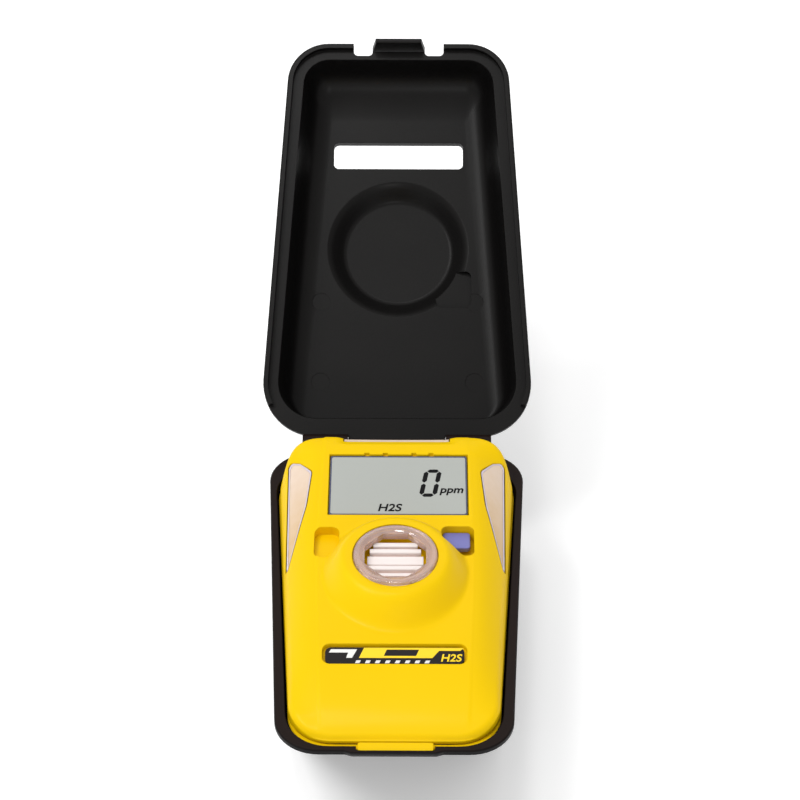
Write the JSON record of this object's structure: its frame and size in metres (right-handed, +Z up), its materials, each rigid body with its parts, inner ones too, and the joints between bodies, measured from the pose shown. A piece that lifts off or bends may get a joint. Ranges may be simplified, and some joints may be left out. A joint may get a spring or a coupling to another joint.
{
  "type": "portable gas detector in a hinged case",
  "caption": "Palm-sized gas detector with a display, sensor dome, alarm windows and belt clip, lying in a black clamshell case with its lid open.",
  "frame": {"origin": "middle of the case's flat underside", "axes": "+Z up, +Y from the latch end towards the hinge, +X across the case to the right as seen from the latch end"},
  "size_m": [0.06, 0.1727, 0.0912],
  "materials": {
    "case_black": "fine textured moulding",
    "shell_yellow": "satin moulding",
    "display_window": "polished clear",
    "display_module": "reflective liquid crystal",
    "light_window": "frosted clear moulding",
    "clear_ring": "clear moulding",
    "led": "clear epoxy",
    "grille_white": "satin moulding",
    "membrane": "porous film",
    "seal_rubber": "matte",
    "dark_part": "moulded",
    "button_grey": "satin",
    "plate": "printed film",
    "board": "solder mask",
    "cell_sleeve": "sleeved cell",
    "steel": "plain",
    "clip_steel": "nickel plated"
  },
  "bodies": {
    "case": {"case_base": "case_black", "hinge_pin": "steel"},
    "lid": {"case_lid": "case_black"},
    "latch": {"latch_tongue": "case_black"},
    "detector": {"front_housing": "shell_yellow", "rear_housing": "shell_yellow", "housing_seal": "seal_rubber", "lcd_window": "display_window", "lcd_module": "display_module", "top_light_window": "light_window", "left_light_window": "light_window", "right_light_window": "light_window", "led_top": "led", "led_left": "led", "led_right": "led", "sensor_lens_ring": "clear_ring", "sensor_grille": "grille_white", "sensor_filter": "membrane", "sensor_seal": "seal_rubber", "gas_sensor": "dark_part", "name_plate": "plate", "circuit_board": "board", "button_switch": "dark_part", "battery": "cell_sleeve", "buzzer": "dark_part", "vibration_motor": "steel", "housing_screw_1": "steel", "housing_screw_2": "steel", "housing_screw_3": "steel", "housing_screw_4": "steel", "clip_bracket": "clip_steel", "clip_pin": "steel", "clip_spring": "steel", "clip_screw_1": "steel", "clip_screw_2": "steel"},
    "button": {"push_button": "button_grey"},
    "jaw": {"clip_jaw": "clip_steel"}
  },
  "joints": [
    {"name": "lid_hinge", "type": "hinge", "parent": "case", "child": "lid", "pos_m": [0, 0.034, 0.031], "axis": [-1, 0, 0], "range_deg": [-144, 0]},
    {"name": "latch_flex", "type": "hinge", "parent": "lid", "child": "latch", "pos_m": [0, 0.11125, 0.0854], "axis": [-1, 0, 0], "range_deg": [0, 10], "stiffness_Nm_per_rad": 0.08},
    {"name": "detector_lift", "type": "slide", "parent": "case", "child": "detector", "axis": [0, 0, 1], "range_m": [0, 0.035]},
    {"name": "clip_open", "type": "hinge", "parent": "detector", "child": "jaw", "pos_m": [0, 0.006, 0.0115], "axis": [1, 0, 0], "range_deg": [0, 8], "stiffness_Nm_per_rad": 0.6, "springref_deg": -11.46},
    {"name": "button_press", "type": "slide", "parent": "detector", "child": "button", "axis": [0, 0, -1], "range_m": [0, 0.0008], "stiffness_N_per_m": 600, "springref_m": -0.0005}
  ]
}
